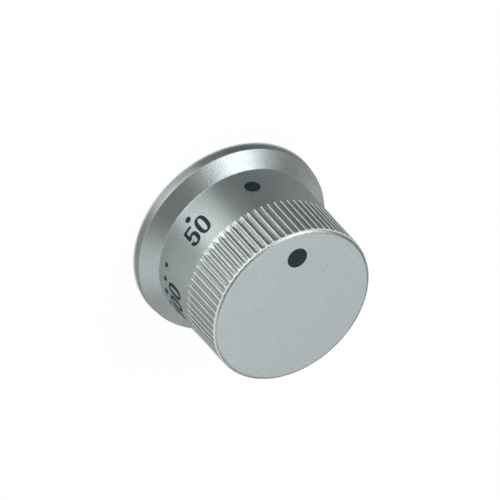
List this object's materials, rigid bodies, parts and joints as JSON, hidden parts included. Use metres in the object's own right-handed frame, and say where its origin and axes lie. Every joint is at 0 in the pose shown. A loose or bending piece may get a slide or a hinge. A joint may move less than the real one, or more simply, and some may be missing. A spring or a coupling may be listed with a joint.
{
  "type": "rotary control knob",
  "caption": "Round push-on control knob with a bevelled flange, a printed dial skirt, a fluted grip, a flat front face with a pointer dot, and a socket for a shaft with a flat.",
  "frame": {"origin": "centre of the flange's rear plane, on the knob's axis, where the knob stands on its rim", "axes": "+Z along the knob's axis toward the front face, +Y toward the pointer dot, +X to the right as seen from the front"},
  "size_m": [0.052, 0.052, 0.0321],
  "materials": {
    "silver_paint": "satin silver metallic paint on moulded plastic",
    "spring_steel": "plain spring steel strip",
    "ink": "printed dark ink"
  },
  "bodies": {
    "root": {"knob_body": "silver_paint", "shaft_spring": "spring_steel", "face_dot": "ink", "zero_dot": "ink", "scale_dots": "ink"}
  },
  "joints": []
}
